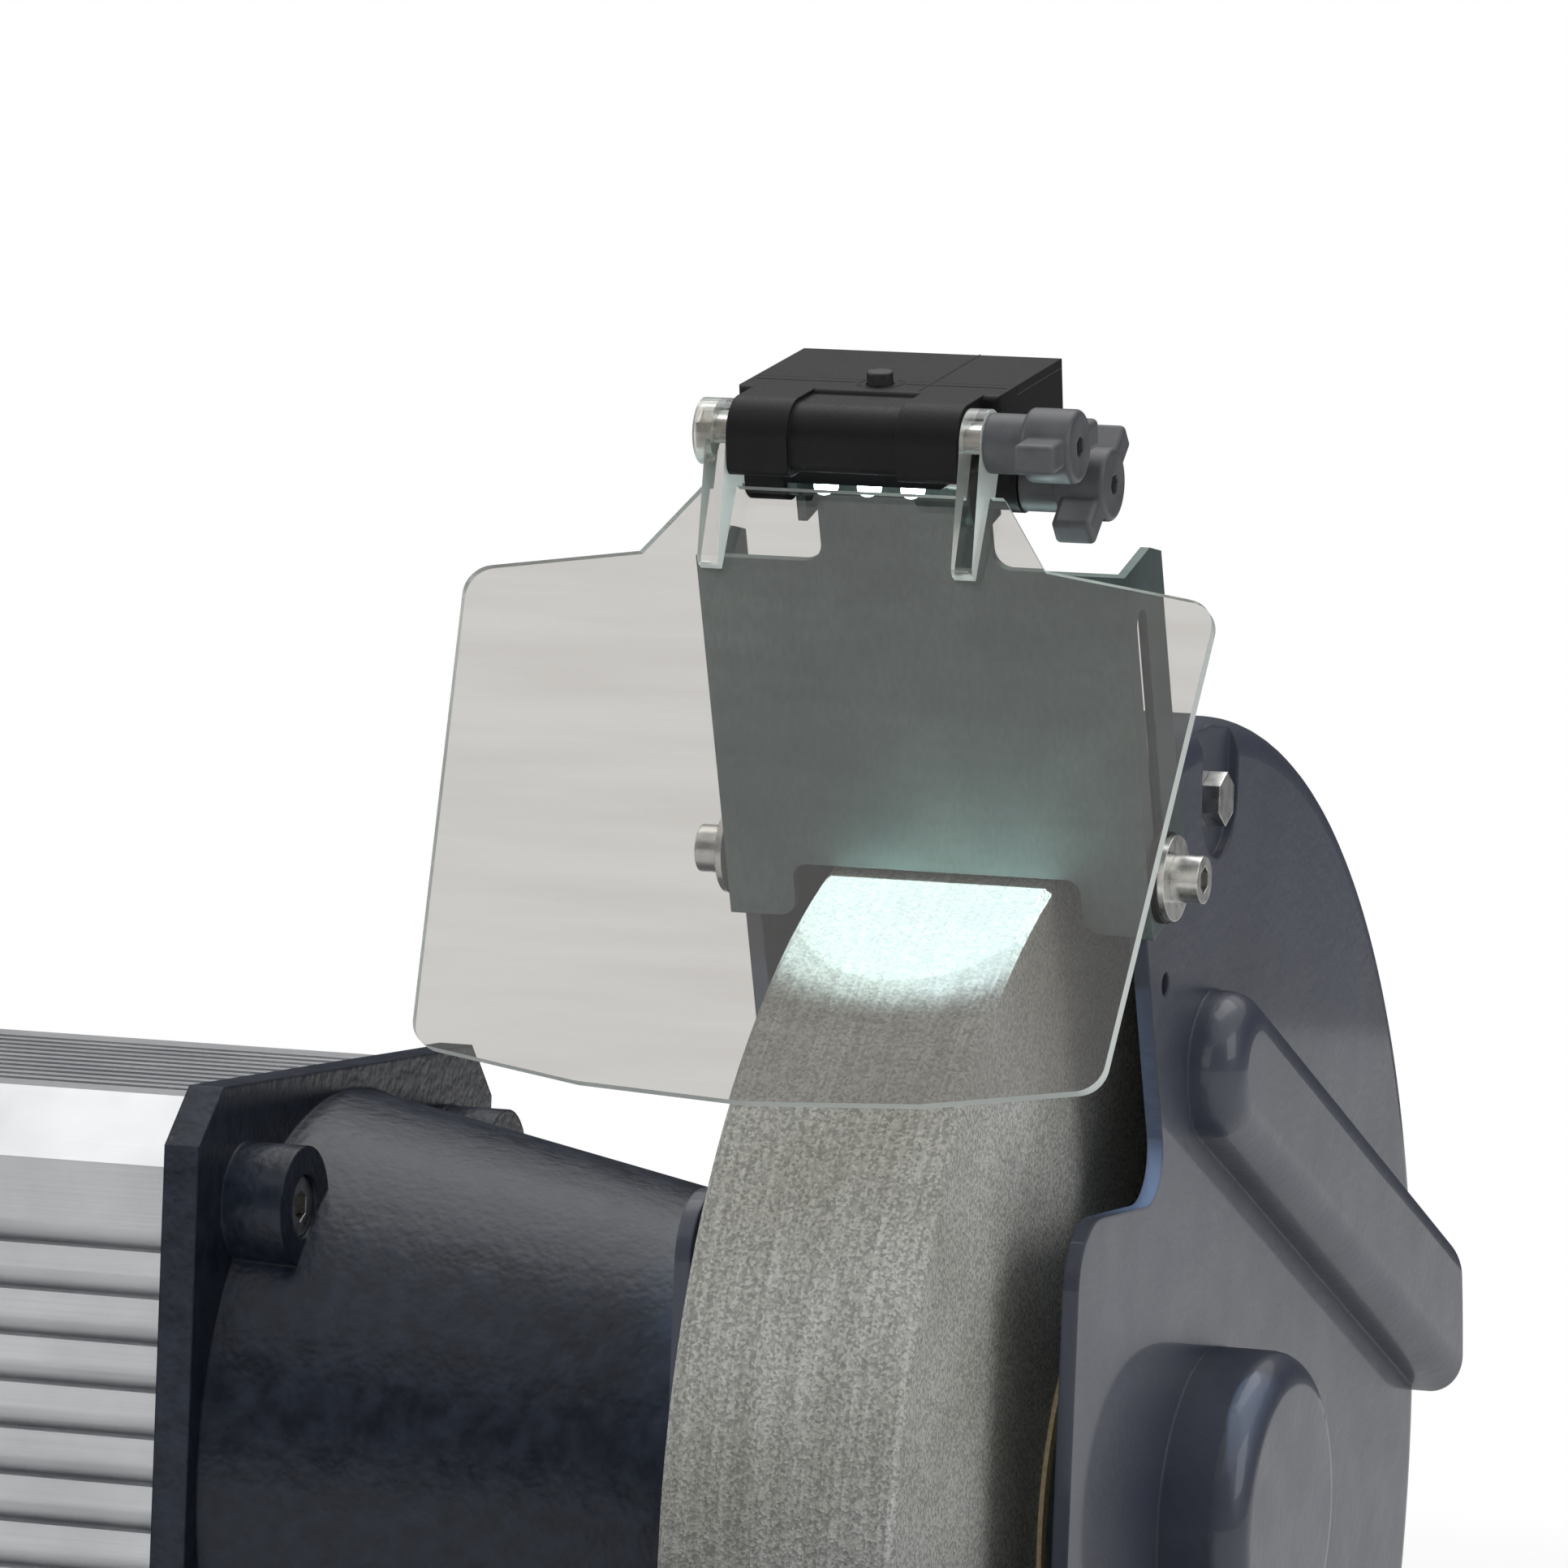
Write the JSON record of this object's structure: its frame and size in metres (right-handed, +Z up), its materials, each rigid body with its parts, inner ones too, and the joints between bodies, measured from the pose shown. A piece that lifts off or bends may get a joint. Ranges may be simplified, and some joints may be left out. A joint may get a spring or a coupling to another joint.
{
  "type": "bench grinder",
  "caption": "Double-ended bench grinder: finned motor on a cast base, guarded wheels, tool rests, and a clear eye shield with a clip-on lamp on each spark plate.",
  "frame": {"origin": "on the bench, in the middle of the four bench bolts, under the middle of the motor", "axes": "+X along the spindle to the right-hand wheel, +Y to the rear, +Z up"},
  "size_m": [0.7032, 0.3835, 0.4502],
  "materials": {
    "guard_paint": "dark blue-grey gloss paint on castings",
    "base_paint": "dark textured paint on cast iron",
    "cast_black": "near-black painted casting",
    "aluminium": "satin",
    "abrasive": "coarse vitrified grit",
    "paper": "matt",
    "steel": "bare sheet steel",
    "zinc": "zinc plated",
    "bearing_steel": "ground and polished",
    "core_iron": "stacked laminations",
    "copper": "enamelled wire",
    "seal_rubber": "matt",
    "lamp_plastic": "black, fine texture",
    "knob_plastic": "mid grey",
    "clear": "clear polycarbonate",
    "led": "clear epoxy, lit",
    "red": "gloss",
    "green": "gloss",
    "black_plastic": "black"
  },
  "bodies": {
    "machine": {"base_casting": "base_paint", "bottom_plate": "zinc", "bottom_plate_screws": "zinc", "motor_housing": "aluminium", "motor_foot_bolts": "zinc", "stator_core": "core_iron", "stator_windings": "copper", "end_shield_screws": "zinc", "bearing_outer_rings": "bearing_steel", "shaft_seals": "seal_rubber", "guard_cover_bolts": "zinc", "guard_mount_screws": "zinc", "spark_plate_screws": "zinc", "spark_plate_washers": "zinc", "spark_plate_pads": "seal_rubber", "spark_plate_nuts": "zinc", "switch_plate": "black_plastic", "cable_gland": "black_plastic", "run_capacitor": "aluminium", "tool_rest_bolts": "zinc", "right_end_shield": "cast_black", "right_guard_body": "guard_paint", "right_guard_cover": "guard_paint", "left_end_shield": "cast_black", "left_guard_body": "guard_paint", "left_guard_cover": "guard_paint"},
    "rotor": {"spindle": "steel", "rotor_core": "core_iron", "bearing_inner_rings": "bearing_steel", "bearing_balls": "bearing_steel", "right_wheel": "abrasive", "left_wheel": "abrasive", "inner_flanges": "steel", "outer_flanges": "steel", "wheel_blotters": "paper", "spindle_nuts": "zinc"},
    "start_button": {"start_button": "green"},
    "stop_button": {"stop_button": "red"},
    "right_spark_plate": {"right_spark_plate": "steel"},
    "right_eye_shield": {"right_eye_shield": "clear"},
    "right_lamp_button": {"right_lamp_button": "black_plastic"},
    "right_shield_knob": {"right_shield_knob": "knob_plastic"},
    "right_lamp_knob": {"right_lamp_knob": "knob_plastic"},
    "right_tool_rest": {"right_tool_rest": "base_paint"},
    "right_lamp": {"right_lamp_housing": "lamp_plastic", "right_lamp_lid": "lamp_plastic", "right_lamp_leds": "led", "right_lamp_cells": "zinc", "right_hinge_bolts": "zinc"},
    "left_spark_plate": {"left_spark_plate": "steel"},
    "left_eye_shield": {"left_eye_shield": "clear"},
    "left_lamp_button": {"left_lamp_button": "black_plastic"},
    "left_shield_knob": {"left_shield_knob": "knob_plastic"},
    "left_lamp_knob": {"left_lamp_knob": "knob_plastic"},
    "left_tool_rest": {"left_tool_rest": "base_paint"},
    "left_lamp": {"left_lamp_housing": "lamp_plastic", "left_lamp_lid": "lamp_plastic", "left_lamp_leds": "led", "left_lamp_cells": "zinc", "left_hinge_bolts": "zinc"}
  },
  "joints": [
    {"name": "spindle_turn", "type": "hinge", "parent": "machine", "child": "rotor", "pos_m": [0, 0, 0.205], "axis": [1, 0, 0], "continuous": true},
    {"name": "start_press", "type": "slide", "parent": "machine", "child": "start_button", "axis": [0, 1, 0], "range_m": [0, 0.003], "stiffness_N_per_m": 600},
    {"name": "stop_press", "type": "slide", "parent": "machine", "child": "stop_button", "axis": [0, 1, 0], "range_m": [0, 0.004], "stiffness_N_per_m": 600},
    {"name": "right_spark_slide", "type": "slide", "parent": "machine", "child": "right_spark_plate", "axis": [0, -0.3616, 0.9323], "range_m": [-0.001, 0.004]},
    {"name": "right_lamp_tilt", "type": "hinge", "parent": "right_spark_plate", "child": "right_lamp", "pos_m": [0.272, -0.10526, 0.42536], "axis": [1, 0, 0], "range_deg": [-30, 10]},
    {"name": "right_shield_tilt", "type": "hinge", "parent": "right_lamp", "child": "right_eye_shield", "pos_m": [0.272, -0.12826, 0.43299], "axis": [1, 0, 0], "range_deg": [-85, 5]},
    {"name": "right_lamp_press", "type": "slide", "parent": "right_lamp", "child": "right_lamp_button", "axis": [0, 0.2011, -0.9796], "range_m": [0, 0.0012], "stiffness_N_per_m": 400},
    {"name": "right_shield_knob_turn", "type": "hinge", "parent": "right_lamp", "child": "right_shield_knob", "pos_m": [0.272, -0.12826, 0.43299], "axis": [1, 0, 0], "range_deg": [0, 60]},
    {"name": "right_lamp_knob_turn", "type": "hinge", "parent": "right_lamp", "child": "right_lamp_knob", "pos_m": [0.272, -0.10526, 0.42536], "axis": [1, 0, 0], "range_deg": [0, 40]},
    {"name": "right_rest_slide", "type": "slide", "parent": "machine", "child": "right_tool_rest", "axis": [0, -1, 0], "range_m": [-0.001, 0.011]},
    {"name": "left_spark_slide", "type": "slide", "parent": "machine", "child": "left_spark_plate", "axis": [0, -0.3616, 0.9323], "range_m": [-0.001, 0.004]},
    {"name": "left_lamp_tilt", "type": "hinge", "parent": "left_spark_plate", "child": "left_lamp", "pos_m": [-0.272, -0.10526, 0.42536], "axis": [1, 0, 0], "range_deg": [-30, 10]},
    {"name": "left_shield_tilt", "type": "hinge", "parent": "left_lamp", "child": "left_eye_shield", "pos_m": [-0.272, -0.12826, 0.43299], "axis": [1, 0, 0], "range_deg": [-85, 5]},
    {"name": "left_lamp_press", "type": "slide", "parent": "left_lamp", "child": "left_lamp_button", "axis": [0, 0.2011, -0.9796], "range_m": [0, 0.0012], "stiffness_N_per_m": 400},
    {"name": "left_shield_knob_turn", "type": "hinge", "parent": "left_lamp", "child": "left_shield_knob", "pos_m": [-0.272, -0.12826, 0.43299], "axis": [1, 0, 0], "range_deg": [0, 60]},
    {"name": "left_lamp_knob_turn", "type": "hinge", "parent": "left_lamp", "child": "left_lamp_knob", "pos_m": [-0.272, -0.10526, 0.42536], "axis": [1, 0, 0], "range_deg": [0, 40]},
    {"name": "left_rest_slide", "type": "slide", "parent": "machine", "child": "left_tool_rest", "axis": [0, -1, 0], "range_m": [-0.001, 0.011]}
  ]
}
